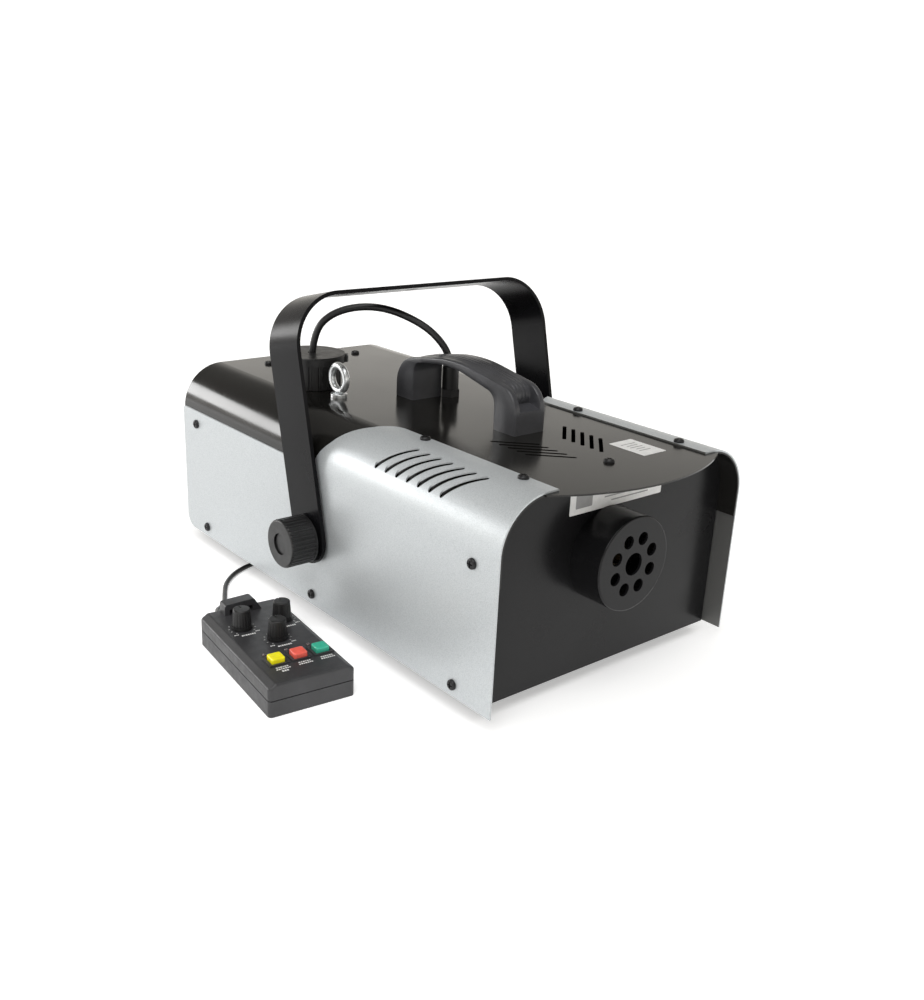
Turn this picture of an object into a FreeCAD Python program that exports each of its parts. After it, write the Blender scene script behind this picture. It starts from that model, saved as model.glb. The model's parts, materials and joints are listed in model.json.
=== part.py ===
"""Fog machine with a tilting hanging bracket and a wired remote control.

Units are millimetres and +Z is up. The origin is on the plane that the four feet stand on, midway
between them. The fog leaves along -Y, and +X is to the right of someone who faces the nozzle.
"""
import FreeCAD, Part
import math
import os

Vec = FreeCAD.Vector
AXIS_X = Vec(1, 0, 0)
AXIS_Y = Vec(0, 1, 0)
AXIS_Z = Vec(0, 0, 1)

# ---------------------------------------------------------------- driving dimensions
BODY_LENGTH = 430.0
BODY_WIDTH = 242.0
BODY_HEIGHT = 150.5          # bottom edge of the panels to the top of the black cover
FOOT_HEIGHT = 12.0
SHOULDER_RADIUS = 38.5       # long top edges of the casing
SHEET = 1.2                  # steel sheet of the side panels and the cover
CHASSIS_SHEET = 1.5
SKIN_GAP = 0.1               # between nested sheets

FRONT = -BODY_LENGTH / 2
REAR = BODY_LENGTH / 2
HALF_WIDTH = BODY_WIDTH / 2
PANEL_BOTTOM = FOOT_HEIGHT
COVER_TOP = FOOT_HEIGHT + BODY_HEIGHT
COVER_HALF = HALF_WIDTH - SHEET - SKIN_GAP
SKIRT_BOTTOM = 106.0         # lower edge of the cover's side walls
SIDE_TOP = 127.0             # upper edge of a side panel, behind its raised front
PANEL_INNER_EDGE = 73.5      # |x| where a side panel ends on the top
VISOR_REACH = -241.0         # y of the foremost point of the cover
VISOR_RADIUS = 166.0
FRONT_PANEL_Y = -199.0
REAR_PANEL_Y = 205.0

NOZZLE = Vec(-6, -226, 100)  # centre of the shroud's front face
SHROUD_RADIUS = 34.5
PIVOT_Y = -4.0
PIVOT_Z = 72.0
BRACKET_REACH = 184.0        # pivot to the outer face of the bar
BRACKET_HALF = 127.0         # middle to the outer face of an arm
BRACKET_STRIP = 41.0
BRACKET_SHEET = 3.0
BRACKET_BEND = 42.0
BRACKET_LEAN = 13.5          # degrees, towards the rear
CLAMP_HOLE_RADIUS = 5.25

CAP = Vec(-57, 100, COVER_TOP)
CAP_HEIGHT = 28.0
EYE = Vec(-60, 54, COVER_TOP)
EYE_THREAD = 3.0
GLAND = Vec(22.5, 11, COVER_TOP)
HOSE_RADIUS = 3.0
HANDLE_HALF = 15.3
HANDLE_SCREWS = (-97.5, 24.5)  # y of the screw in each foot of the handle
PIVOT_BORE = 4.05

INLET = Vec(62, REAR_PANEL_Y, 46)
SWITCH = Vec(18, REAR_PANEL_Y, 46)
FUSE = Vec(98, REAR_PANEL_Y, 46)
ROCKER_PIVOT = Vec(SWITCH.x, REAR_PANEL_Y + 2.5, SWITCH.z)
ROCKER_TILT = 7.0
ROCKER_PIN = 1.2

REMOTE_CORNER = Vec(-226.5, -113.3, 0)
REMOTE_TURN = -6.0
REMOTE_WIDTH = 65.0
REMOTE_LENGTH = 124.0
REMOTE_CABLE = (24.0, 9.0)   # x and height where the cable leaves the back of the remote
REMOTE_HEIGHT = 24.5
REMOTE_SEAM = 12.2
REMOTE_WALL = 2.0
KNOB_SPOTS = [("interval", 18.5, 88.0), ("duration", 50.0, 87.0), ("output", 34.5, 61.0)]
BUTTON_SPOTS = [("timer", 19.0, 30.0), ("continuous", 36.0, 30.0), ("manual", 53.0, 30.0)]
BUTTON_TRAVEL = 1.5
SWITCH_TOP = 16.0            # height of the switches under the buttons
LAMP_OFFSET = (-4.0, 11.5)   # from a button to its lamp

SCREW_RADIUS = 2.0
SCREW_HOLE = 2.15

CABLE_DIAMETER = 4.0
CABLE_RADIUS = CABLE_DIAMETER / 2
PLUG = Vec(-60, 209, 34)     # where the remote's plug meets its socket
COIL_CENTRE = Vec(10, 262, 0)
COIL_INNER = 16.0            # radius of the innermost turns
COIL_TURNS = 4               # side by side in each layer
COIL_LAYERS = 4
COIL_ROUNDS = 5100 / 360     # under 16, because the cable steps sideways before each turn closes

# Routes are chosen by hand; each point is a corner that an arc rounds.
HOSE_ROUTE = [(0.0, 176.0), (0.0, 207.0), (0.17, 227.5), (0.48, 234.0), (0.79, 221.5),
              (0.955, 204.0), (1.0, 188.0), (1.0, 168.0)]    # (share of the way to the gland, height)
CABLE_ROUTE = [(-188.1, 22.7, 9.0), (-186.0, 41.0, 7.0), (-170.0, 54.0, 2.5), (-158.5, 75.5, 2.0),
               (-147.0, 95.0, 2.0), (-126.0, 112.5, 2.0), (-94.0, 121.0, 2.0),
               (-56.0, 119.5, 2.0), (-20.0, 131.0, 2.0), (12.0, 155.0, 2.0),
               (32.0, 188.0, 2.0), (40.0, 225.0, 2.0), (38.5, 262.0, 2.0)]
TAIL_ROUTE = [(24.0, 286.2, 14.0), (6.0, 297.0, 10.0), (-13.0, 305.0, 4.5), (-33.0, 307.0, 4.0),
              (-49.0, 300.0, 11.0), (-58.0, 287.0, 22.0), (-60.0, 271.0, 32.0), (-60.0, 254.0, 34.0)]

NODES = {}


# ---------------------------------------------------------------- small tools
def add(name, *solids):
    """Keep one node; several solids stay separate pieces of it."""
    NODES[name] = solids[0] if len(solids) == 1 else Part.makeCompound(list(solids))


def box(x0, x1, y0, y1, z0, z1):
    return Part.makeBox(x1 - x0, y1 - y0, z1 - z0, Vec(x0, y0, z0))


def rod(radius, length, base, axis=AXIS_Z):
    return Part.makeCylinder(radius, length, base, axis)


def ring(outer, inner, length, base, axis=AXIS_Z):
    return rod(outer, length, base, axis).cut(rod(inner, length, base, axis))


def unit(vector):
    return vector * (1.0 / vector.Length)


def fused(shapes):
    return shapes[0].fuse(shapes[1:]).removeSplitter()


def without(shape, cutters):
    return shape.cut(Part.makeCompound(cutters))


def rounded(shape, radius, wanted):
    """Fillet the edges that the test wanted(edge) picks."""
    return shape.makeFillet(radius, [edge for edge in shape.Edges if wanted(edge)])


def at_height(level):
    """A test for edges that lie flat at the height level."""
    return lambda edge: abs(edge.BoundBox.ZMin - level) < 0.01 and abs(edge.BoundBox.ZMax - level) < 0.01


def upright(edge):
    flat = edge.BoundBox.XLength < 0.01 and edge.BoundBox.YLength < 0.01
    return flat and edge.BoundBox.ZLength > 0.5


def on_plane(plane, a, b, level):
    if plane == "xy":
        return Vec(a, b, level)
    if plane == "xz":
        return Vec(a, level, b)
    return Vec(level, a, b)


def outline(plane, corners, level=0.0):
    """A flat face; a corner is (a, b) when sharp, or (a, b, radius) when rounded."""
    points = [on_plane(plane, corner[0], corner[1], level) for corner in corners]
    starts, middles, ends = [], [], []
    for index, corner in enumerate(corners):
        here = points[index]
        radius = corner[2] if len(corner) > 2 else 0.0
        if radius == 0.0:
            starts.append(here)
            middles.append(None)
            ends.append(here)
            continue
        back = unit(points[index - 1] - here)
        ahead = unit(points[(index + 1) % len(points)] - here)
        half = back.getAngle(ahead) / 2
        reach = radius / math.tan(half)
        inward = unit(back + ahead)
        starts.append(here + back * reach)
        middles.append(here + inward * (radius / math.sin(half) - radius))
        ends.append(here + ahead * reach)
    edges = []
    for index, middle in enumerate(middles):
        if middle is not None:
            edges.append(Part.Arc(starts[index], middle, ends[index]).toShape())
        follower = starts[(index + 1) % len(points)]
        if (follower - ends[index]).Length > 1e-4:
            edges.append(Part.makeLine(ends[index], follower))
    return Part.Face(Part.Wire(edges))


def prism(plane, corners, start, end):
    return outline(plane, corners, start).extrude(on_plane(plane, 0, 0, end - start))


def hexagon(centre, radius):
    corners = []
    for index in range(6):
        angle = math.radians(60 * index)
        corners.append((centre.x + radius * math.cos(angle), centre.y + radius * math.sin(angle)))
    return corners


def slot_cutter(x0, y0, x1, y1, width, low, high):
    """An upright cutter for a round-ended slot between two points of the plan."""
    along = unit(Vec(x1 - x0, y1 - y0, 0))
    side = Vec(-along.y, along.x, 0) * (width / 2)
    ends = [Vec(x0, y0, 0), Vec(x1, y1, 0)]
    corners = [ends[0] + side, ends[1] + side, ends[1] - side, ends[0] - side]
    middle = prism("xy", [(corner.x, corner.y) for corner in corners], low, high)
    tips = [rod(width / 2, high - low, Vec(end.x, end.y, low)) for end in ends]
    return fused([middle] + tips)


def seated(shape, position, axis):
    """Move a shape made at the origin along +Z to a position, along an axis."""
    placed = shape.copy()
    placed.Placement = FreeCAD.Placement(position, FreeCAD.Rotation(AXIS_Z, axis))
    return placed


def pan_screw(head_radius=3.9, head_height=2.4, thread_radius=SCREW_RADIUS, length=7.0):
    """Cross-head screw; its head stands on the plane z = 0 and its thread points down."""
    head = rod(head_radius, head_height, Vec(0, 0, 0))
    head = rounded(head, head_height * 0.65, at_height(head_height))
    wing = head_radius * 0.62
    slit = head_radius * 0.13
    depth = head_height * 0.5
    cross = [box(-wing, wing, -slit, slit, depth, head_height + 1),
             box(-slit, slit, -wing, wing, depth, head_height + 1)]
    return fused([without(head, cross), rod(thread_radius, length, Vec(0, 0, -length))])


def tube_along(route, radius, name):
    """A round bar along straight runs joined by tangent arcs; prints the arcs' radii."""
    points = [Vec(*point) for point in route]
    edges, radii, length = [], [], 0.0
    last = points[0]
    for back, here, ahead in zip(points, points[1:], points[2:]):
        inward = unit(back - here)
        outward = unit(ahead - here)
        turn = math.pi - inward.getAngle(outward)
        shorter = min((back - here).Length, (ahead - here).Length)
        reach = 0.45 * shorter
        bend = reach / math.tan(turn / 2)
        start = here + inward * reach
        end = here + outward * reach
        bisector = unit(inward + outward)
        middle = here + bisector * (bend / math.cos(turn / 2) - bend)
        edges.append(Part.makeLine(last, start))
        edges.append(Part.Arc(start, middle, end).toShape())
        length += (start - last).Length + bend * turn
        radii.append(round(bend, 1))
        last = end
    edges.append(Part.makeLine(last, points[-1]))
    length += (points[-1] - last).Length
    path = Part.Wire(edges)
    circle = Part.Wire([Part.makeCircle(radius, points[0], points[1] - points[0])])
    tube = path.makePipeShell([circle], True, False)
    print(name, "length", round(length, 1), "radii", radii,
          "volume ratio", round(tube.Volume / (math.pi * radius ** 2 * length), 4))
    return tube, length


# ---------------------------------------------------------------- casing
def casing_section(half_width, top, radius, bottom, start, end):
    """A bar with the casing's section: upright sides and rounded shoulders."""
    corners = [(-half_width, bottom), (-half_width, top, radius),
               (half_width, top, radius), (half_width, bottom)]
    return prism("xz", corners, start, end)


def side_screw_seats():
    """(y, z) of the screws in each side panel."""
    return [(190.0, 115.0), (176.0, 21.0), (0.0, 21.0), (-176.0, 21.0), (-190.0, 115.0)]


def shoulder_screw_seats(side):
    """(x, y) of the two screws in the flat edge of a side panel."""
    return [(side * (PANEL_INNER_EDGE + 4.6), y) for y in (-84.0, -187.0)]


def side_screws():
    screws = []
    for side in (-1, 1):
        for y, z in side_screw_seats():
            screws.append(seated(pan_screw(), Vec(side * HALF_WIDTH, y, z), AXIS_X * side))
        for x, y in shoulder_screw_seats(side):
            seat = Vec(x, y, COVER_TOP + SKIN_GAP + SHEET)
            screws.append(seated(pan_screw(), seat, AXIS_Z))
    return screws


def cover_screw_seats():
    """(x, y) of the screws through the flat of the cover."""
    return [(-48.0, 187.0), (48.0, 187.0), (0.0, -190.0)]


def cover_screws():
    return [seated(pan_screw(), Vec(x, y, COVER_TOP), AXIS_Z) for x, y in cover_screw_seats()]


def screw_holes():
    """Clearance for the threads of every screw in the casing."""
    holes = []
    for side in (-1, 1):
        for y, z in side_screw_seats():
            holes.append(rod(SCREW_HOLE, 12, Vec(side * (HALF_WIDTH + 1), y, z), AXIS_X * -side))
        for x, y in shoulder_screw_seats(side):
            holes.append(rod(SCREW_HOLE, 12, Vec(x, y, COVER_TOP - 9)))
    for x, y in cover_screw_seats():
        holes.append(rod(SCREW_HOLE, 12, Vec(x, y, COVER_TOP - 9)))
    return holes


def shoulder_slots():
    """Seven slanted cooling slots around each shoulder."""
    slots = []
    for side in (-1, 1):
        for row in range(7):
            y = -74.3 - 12.3 * row
            slots.append(slot_cutter(side * 113.0, y, side * 94.2, y - 21.5, 4.2, 125, 175))
    return slots


def top_vents():
    """Two mirrored groups of five slanted slots in the flat of the cover."""
    slots = []
    for side in (-1, 1):
        for row in range(5):
            y = -110.0 - 9.3 * row
            slots.append(slot_cutter(side * 37.0, y, side * 13.5, y - 23.0, 3.0, 150, 170))
    return slots


def pivot_holes():
    span = BODY_WIDTH + 20
    return [rod(4.6, span, Vec(-span / 2, PIVOT_Y, PIVOT_Z), AXIS_X)]


def make_cover():
    inner_radius = SHOULDER_RADIUS - SHEET
    outer = casing_section(COVER_HALF, COVER_TOP, inner_radius, SKIRT_BOTTOM, VISOR_REACH - 4, REAR)
    hollow = casing_section(COVER_HALF - SHEET, COVER_TOP - SHEET, inner_radius - SHEET,
                            SKIRT_BOTTOM - 1, VISOR_REACH - 5, REAR + 1)
    half_chord = 86.0
    disc = rod(VISOR_RADIUS, 200, Vec(0, VISOR_REACH + VISOR_RADIUS, 0))
    visor = disc.common(box(-half_chord, half_chord, VISOR_REACH - 1, FRONT + 1, 0, 200))
    plan = fused([box(-HALF_WIDTH, HALF_WIDTH, FRONT, REAR, 0, 200), visor])
    fittings = [rod(22.5, 10, CAP - Vec(0, 0, 5)), rod(EYE_THREAD + 0.2, 10, EYE - Vec(0, 0, 5)),
                rod(5.6, 10, GLAND - Vec(0, 0, 5))]
    fittings.extend(rod(2.2, 10, Vec(0, y, COVER_TOP - 5)) for y in HANDLE_SCREWS)
    sheet = outer.cut(hollow).common(plan)
    return without(sheet, fittings + screw_holes() + shoulder_slots() + top_vents())


def make_side_panel(side):
    outer_top = COVER_TOP + SKIN_GAP + SHEET
    outer = casing_section(HALF_WIDTH, outer_top, SHOULDER_RADIUS, PANEL_BOTTOM, FRONT, REAR)
    hollow = casing_section(HALF_WIDTH - SHEET, outer_top - SHEET, SHOULDER_RADIUS - SHEET,
                            PANEL_BOTTOM - 1, FRONT - 1, REAR + 1)
    wide = HALF_WIDTH + 4
    low = prism("yz", [(FRONT, PANEL_BOTTOM), (REAR, PANEL_BOTTOM, 12.0), (REAR, SIDE_TOP, 3.0),
                       (FRONT, SIDE_TOP)], 0, wide)
    raised = prism("xy", [(wide, FRONT), (PANEL_INNER_EDGE, FRONT), (PANEL_INNER_EDGE, -46.5, 15.0),
                          (90.0, -36.5, 14.0), (113.0, -14.0, 10.0), (120.0, -3.5), (wide, -3.5)],
                   SIDE_TOP - 1, outer_top + 1)
    panel = outer.cut(hollow).common(fused([low, raised]))
    if side < 0:
        panel = panel.mirror(Vec(0, 0, 0), AXIS_X)
    return without(panel, screw_holes() + shoulder_slots() + pivot_holes())


def make_chassis():
    half = HALF_WIDTH - SHEET - SKIN_GAP
    front = FRONT_PANEL_Y + CHASSIS_SHEET + SKIN_GAP
    back = REAR_PANEL_Y - SKIN_GAP
    flange = 40.0
    tray = box(-half, half, front, back, PANEL_BOTTOM, flange)
    inside = half - CHASSIS_SHEET
    floor_top = PANEL_BOTTOM + CHASSIS_SHEET
    tray = tray.cut(box(-inside, inside, front - 1, back + 1, floor_top, flange + 1))
    posts = []
    for side in (-1, 1):
        post = box(inside - 1.5, half, PIVOT_Y - 16, PIVOT_Y + 16, flange, PIVOT_Z + 16)
        posts.append(post if side > 0 else post.mirror(Vec(0, 0, 0), AXIS_X))
    tray = fused([tray] + posts)
    vents = []
    for column in range(6):
        x = -50.0 + 20.0 * column
        vents.append(slot_cutter(x, -20, x, 30, 4.0, PANEL_BOTTOM - 1, floor_top + 1))
    feet = [rod(2.2, 8, Vec(x, y, PANEL_BOTTOM - 4)) for x, y in foot_spots()]
    return without(tray, screw_holes() + pivot_holes() + vents + feet)


def foot_spots():
    return [(x, y) for x in (-85.0, 85.0) for y in (-175.0, 175.0)]


def make_feet():
    feet = []
    for x, y in foot_spots():
        foot = Part.makeCone(9.0, 11.0, FOOT_HEIGHT - 0.05, Vec(x, y, 0))
        bore = [rod(5.0, 6, Vec(x, y, -1)), rod(2.3, 20, Vec(x, y, -1))]
        feet.append(without(foot, bore))
    return feet


def make_foot_screws():
    screw = pan_screw(head_radius=4.2, length=10.0)
    return [seated(screw, Vec(x, y, 5.0), Vec(0, 0, -1)) for x, y in foot_spots()]


def make_front_panel():
    half = COVER_HALF - SHEET - SKIN_GAP
    radius = SHOULDER_RADIUS - 2 * SHEET
    plate = casing_section(half, COVER_TOP - SHEET - SKIN_GAP, radius, PANEL_BOTTOM,
                           FRONT_PANEL_Y, FRONT_PANEL_Y + CHASSIS_SHEET)
    return plate.cut(rod(26.0, 10, Vec(NOZZLE.x, FRONT_PANEL_Y - 4, NOZZLE.z), AXIS_Y))


def make_rear_panel():
    half = COVER_HALF - SHEET - SKIN_GAP
    radius = SHOULDER_RADIUS - 2 * SHEET
    y0 = REAR_PANEL_Y
    plate = casing_section(half, COVER_TOP - SHEET - SKIN_GAP, radius, PANEL_BOTTOM,
                           y0, y0 + CHASSIS_SHEET)
    cuts = [rod(9.0, 10, Vec(PLUG.x, y0 - 4, PLUG.z), AXIS_Y),
            box(INLET.x - 14.2, INLET.x + 14.2, y0 - 4, y0 + 6, INLET.z - 10.2, INLET.z + 10.2),
            box(SWITCH.x - 7.2, SWITCH.x + 7.2, y0 - 4, y0 + 6, SWITCH.z - 10.2, SWITCH.z + 10.2),
            rod(7.2, 10, Vec(FUSE.x, y0 - 4, FUSE.z), AXIS_Y)]
    for column in range(9):
        x = -64.0 + 16.0 * column
        cuts.append(box(x - 2, x + 2, y0 - 4, y0 + 6, 102, 132))
    return without(plate, cuts)


# ---------------------------------------------------------------- handle, eye, hose
def make_handle():
    arch = [(-109.8, COVER_TOP), (-109.8, 195.0, 20.0), (-35.0, 207.5, 150.0), (36.0, 194.5, 24.0),
            (36.0, COVER_TOP), (13.0, COVER_TOP), (13.0, 194.0, 9.0), (-32.0, 201.0, 110.0),
            (-85.0, 189.0, 10.0), (-86.0, COVER_TOP)]
    strap = prism("yz", arch, -HANDLE_HALF, HANDLE_HALF)
    bores = [rod(1.9, 14, Vec(0, y, COVER_TOP - 1)) for y in HANDLE_SCREWS]
    return without(strap, bores)


def make_handle_screws():
    seats = [Vec(0, y, COVER_TOP - SHEET) for y in HANDLE_SCREWS]
    return [seated(pan_screw(thread_radius=1.8, length=13.0), seat, Vec(0, 0, -1)) for seat in seats]


def make_eye_bolt():
    ring_radius = 10.2
    wire_radius = 3.0
    collar = rounded(rod(7.0, 3.0, EYE), 0.8, at_height(EYE.z + 3.0))
    centre = EYE + Vec(0, 0, 3.0 + ring_radius + wire_radius - 0.8)
    loop = Part.makeTorus(ring_radius, wire_radius, centre, AXIS_X)
    thread = rod(EYE_THREAD, 20.0, EYE - Vec(0, 0, 20.0))
    return fused([collar, loop, thread])


def make_eye_nut():
    top = COVER_TOP - SHEET
    nut = prism("xy", hexagon(EYE, 5.8), top - 5.0, top)
    return nut.cut(rod(EYE_THREAD + 0.05, 20, EYE - Vec(0, 0, 16)))


def make_gland():
    height = 26.0
    base = prism("xy", hexagon(GLAND, 8.3), COVER_TOP, COVER_TOP + 6)
    barrel = rounded(rod(6.9, height - 6, GLAND + Vec(0, 0, 6)), 1.4, at_height(COVER_TOP + height))
    thread = rod(5.5, 9.0, GLAND - Vec(0, 0, 9))
    bore = rod(HOSE_RADIUS + 0.1, 40, GLAND - Vec(0, 0, 10))
    mouth = Part.makeCone(HOSE_RADIUS + 0.1, HOSE_RADIUS + 1.8, 9.0, GLAND + Vec(0, 0, height - 8.5))
    return without(fused([base, barrel, thread]), [bore, mouth])


def make_hose():
    span = GLAND - CAP
    route = [(CAP.x + span.x * share, CAP.y + span.y * share, z) for share, z in HOSE_ROUTE]
    return tube_along(route, HOSE_RADIUS, "fluid_hose")[0]


# ---------------------------------------------------------------- tank and cap
def make_tank():
    wall = 2.5
    top = 122.0
    back = 184.0
    outer = box(-112, 34, 62, back, 15, top)
    outer = rounded(outer, 10.0, lambda edge: upright(edge) or at_height(top)(edge))
    hollow = box(-112 + wall, 34 - wall, 62 + wall, back - wall, 15 + wall, top - wall)
    hollow = rounded(hollow, 7.5, lambda edge: upright(edge) or at_height(top - wall)(edge))
    neck = rod(20.5, 184 - top, Vec(CAP.x, CAP.y, top))
    mouth = rod(17.5, 80, Vec(CAP.x, CAP.y, top - 10))
    return fused([outer, neck]).cut(hollow).cut(mouth)


def make_pickup_tube():
    tube = ring(HOSE_RADIUS, 2.0, 146, Vec(CAP.x, CAP.y, 26))
    strainer = ring(6.0, HOSE_RADIUS + 0.05, 14, Vec(CAP.x, CAP.y, 22))
    return [tube, strainer]


def make_cap():
    low = COVER_TOP + 0.3
    disc_low = COVER_TOP + CAP_HEIGHT - 6.5
    high = COVER_TOP + CAP_HEIGHT
    skirt = rod(25.0, disc_low - low, Vec(CAP.x, CAP.y, low))
    disc = rod(29.0, high - disc_low, Vec(CAP.x, CAP.y, disc_low))
    lug = box(-30.8, 30.8, -3.5, 3.5, disc_low, high)
    lug.rotate(Vec(0, 0, 0), AXIS_Z, -40)
    lug.translate(Vec(CAP.x, CAP.y, 0))
    body = fused([skirt, disc, lug])
    body = rounded(body, 1.4, at_height(high))
    ribs = []
    for index in range(20):
        angle = math.radians(18 * index)
        spot = Vec(CAP.x + 25.2 * math.cos(angle), CAP.y + 25.2 * math.sin(angle), low)
        ribs.append(rod(1.2, disc_low - low, spot))
    inside = rod(21.5, 23.0, Vec(CAP.x, CAP.y, low - 1))
    bore = rod(HOSE_RADIUS + 0.4, 40, Vec(CAP.x, CAP.y, low))
    return without(body, ribs + [inside, bore])


# ---------------------------------------------------------------- heater, nozzle and pump
def make_shroud():
    depth = abs(NOZZLE.y - FRONT_PANEL_Y)
    face = 2.0
    wall = 1.4
    can = rod(SHROUD_RADIUS, depth, NOZZLE, AXIS_Y)
    can = rounded(can, 1.2, lambda edge: edge.BoundBox.YMax < NOZZLE.y + 0.01)
    cuts = [rod(SHROUD_RADIUS - wall, depth, NOZZLE + Vec(0, face, 0), AXIS_Y),
            rod(8.2, 10, NOZZLE - Vec(0, 4, 0), AXIS_Y)]
    for index in range(8):
        angle = math.radians(22.5 + 45 * index)
        spot = NOZZLE + Vec(18.8 * math.cos(angle), -4, 18.8 * math.sin(angle))
        cuts.append(rod(4.8, 10, spot, AXIS_Y))
    return without(can, cuts)


def make_nozzle_tip():
    base = Vec(NOZZLE.x, -184.0, NOZZLE.z)
    pipe = rod(5.0, 26.0, base, -AXIS_Y)
    tip = Part.makeCone(5.0, 2.2, 5.0, base - Vec(0, 26, 0), -AXIS_Y)
    collar = rod(10.0, 4.0, base, -AXIS_Y)
    return fused([pipe, tip, collar]).cut(rod(0.9, 40, base, -AXIS_Y))


def make_heater():
    block = box(-40, 28, -184, -50, 72, 128)
    block = rounded(block, 5.0, lambda edge: edge.BoundBox.YLength > 100)
    jacket = box(-52, 40, -188, -46, 60, 140)
    jacket = rounded(jacket, 6.0, lambda edge: edge.BoundBox.YLength > 100)
    jacket = jacket.cut(box(-40.2, 28.2, -187, -46.5, 71.8, 128.2))
    jacket = without(jacket, [rod(12, 12, Vec(NOZZLE.x, -192, NOZZLE.z), AXIS_Y),
                              rod(4.0, 12, Vec(NOZZLE.x, -50, NOZZLE.z), AXIS_Y)])
    rails = []
    for y in (-170.0, -64.0):
        foot = [(-60, 13.5), (60, 13.5), (60, 15.0), (48, 15.0), (48, 59.9), (-48, 59.9),
                (-48, 15.0), (-60, 15.0)]
        hollow = [(-46.5, 13.0), (46.5, 13.0), (46.5, 58.4), (-46.5, 58.4)]
        rails.append(prism("xz", foot, y - 8, y + 8).cut(prism("xz", hollow, y - 9, y + 9)))
    discs = [rod(8.0, 3.5, Vec(-6, y, 128.0)) for y in (-150.0, -90.0)]
    return block, without(jacket, discs), rails, discs


def make_pump():
    centre = Vec(70, 0, 34)
    coil = box(52, 88, -18, 20, 22, 54)
    coil = rounded(coil, 4.0, upright)
    core = rod(9.0, 74, centre - Vec(0, 38, 0), AXIS_Y)
    plate = box(46, 94, -30, 34, 13.5, 16)
    legs = box(64, 76, -14, 16, 16, 22)
    return fused([coil, core, plate, legs])


def make_pump_tubes():
    feed, _ = tube_along([(GLAND.x, GLAND.y, 152), (GLAND.x, GLAND.y, 110), (34, 24, 76),
                          (50, 46, 50), (64, 58, 36), (70, 50, 34), (70, 36.1, 34)], HOSE_RADIUS, "pump_feed")
    outlet, _ = tube_along([(70, -38.1, 34), (70, -50, 34), (69, -56, 46), (62, -46, 62), (40, -30, 84),
                            (14, -24, 97), (-5, -31, 100), (-6, -49.9, 100)], 2.0, "pump_outlet")
    return [feed, outlet]


# ---------------------------------------------------------------- electrics
def make_board():
    board = box(48, 112, 76, 170, 22, 23.6)
    posts = [rod(2.5, 8.5, Vec(x, y, 13.5)) for x in (52, 108) for y in (80, 166)]
    relay = box(56, 74, 84, 102, 23.6, 40)
    heat_sink = box(94, 97, 86, 122, 23.6, 50)
    cells = [rod(6.5, 22, Vec(x, 132, 23.6)) for x in (64, 80)]
    terminal = box(56, 96, 152, 164, 23.6, 34)
    return [fused([board, relay, heat_sink, terminal] + posts + cells)]


def make_transformer():
    core = box(58, 100, 84, 118, 70, 106)
    winding = rounded(box(62, 96, 78, 124, 76, 100), 4.0, lambda edge: edge.BoundBox.ZLength > 20)
    shelf = box(52, 112, 74, 128, 68, 70)
    legs = [box(110, 112, 74, 128, 23.7, 68), box(52, 54, 74, 80, 23.7, 68)]
    return fused([core, winding, shelf] + legs)


def make_inlet():
    face = REAR_PANEL_Y + CHASSIS_SHEET
    flange = rounded(box(INLET.x - 24, INLET.x + 24, face, face + 2.5, INLET.z - 12, INLET.z + 12),
                     5.0, lambda edge: edge.BoundBox.YLength > 2 and edge.BoundBox.XLength < 0.1)
    body = box(INLET.x - 14, INLET.x + 14, 186, face, INLET.z - 10, INLET.z + 10)
    recess = prism("xz", [(INLET.x - 12.2, INLET.z - 8.2), (INLET.x + 12.2, INLET.z - 8.2),
                          (INLET.x + 12.2, INLET.z + 4.0), (INLET.x + 8.0, INLET.z + 8.2),
                          (INLET.x - 8.0, INLET.z + 8.2), (INLET.x - 12.2, INLET.z + 4.0)], 190, 212)
    holes = [rod(1.7, 8, Vec(INLET.x + side * 20, face - 3, INLET.z), AXIS_Y) for side in (-1, 1)]
    pins = [box(INLET.x + x - 1, INLET.x + x + 1, 188, 202, INLET.z + z - 2, INLET.z + z + 2)
            for x, z in ((-7, -3), (7, -3), (0, 3.5))]
    return fused([without(fused([flange, body]), [recess] + holes)] + pins)


def make_inlet_screws():
    face = REAR_PANEL_Y + CHASSIS_SHEET + 2.5
    small = pan_screw(head_radius=2.9, head_height=1.8, thread_radius=1.5, length=2.4)
    return [seated(small, Vec(INLET.x + side * 20, face, INLET.z), AXIS_Y) for side in (-1, 1)]


def make_switch():
    face = REAR_PANEL_Y + CHASSIS_SHEET
    flange = box(SWITCH.x - 9, SWITCH.x + 9, face, face + 2, SWITCH.z - 12, SWITCH.z + 12)
    flange = rounded(flange, 1.5, lambda edge: edge.BoundBox.YLength > 1.9 and edge.BoundBox.XLength < 0.1)
    body = box(SWITCH.x - 7, SWITCH.x + 7, 188, face, SWITCH.z - 10, SWITCH.z + 10)
    well = box(SWITCH.x - 6.2, SWITCH.x + 6.2, 198, 215, SWITCH.z - 9.2, SWITCH.z + 9.2)
    return without(fused([flange, body]), [well, rocker_pin(ROCKER_PIN + 0.05, 6.9)])


def rocker_pin(radius, half_length):
    return rod(radius, 2 * half_length, ROCKER_PIVOT - Vec(half_length, 0, 0), AXIS_X)


def make_rocker():
    half = 8.4
    back = ROCKER_PIVOT.y - 3.0
    z = SWITCH.z
    paddle = prism("yz", [(back, z - half + 2), (back, z + half - 2), (back + 5.5, z + half, 0.8),
                          (back + 4.0, z), (back + 5.5, z - half, 0.8)], SWITCH.x - 5.7, SWITCH.x + 5.7)
    paddle.rotate(ROCKER_PIVOT, AXIS_X, -ROCKER_TILT)
    return fused([paddle, rocker_pin(ROCKER_PIN, 6.8)])


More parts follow.
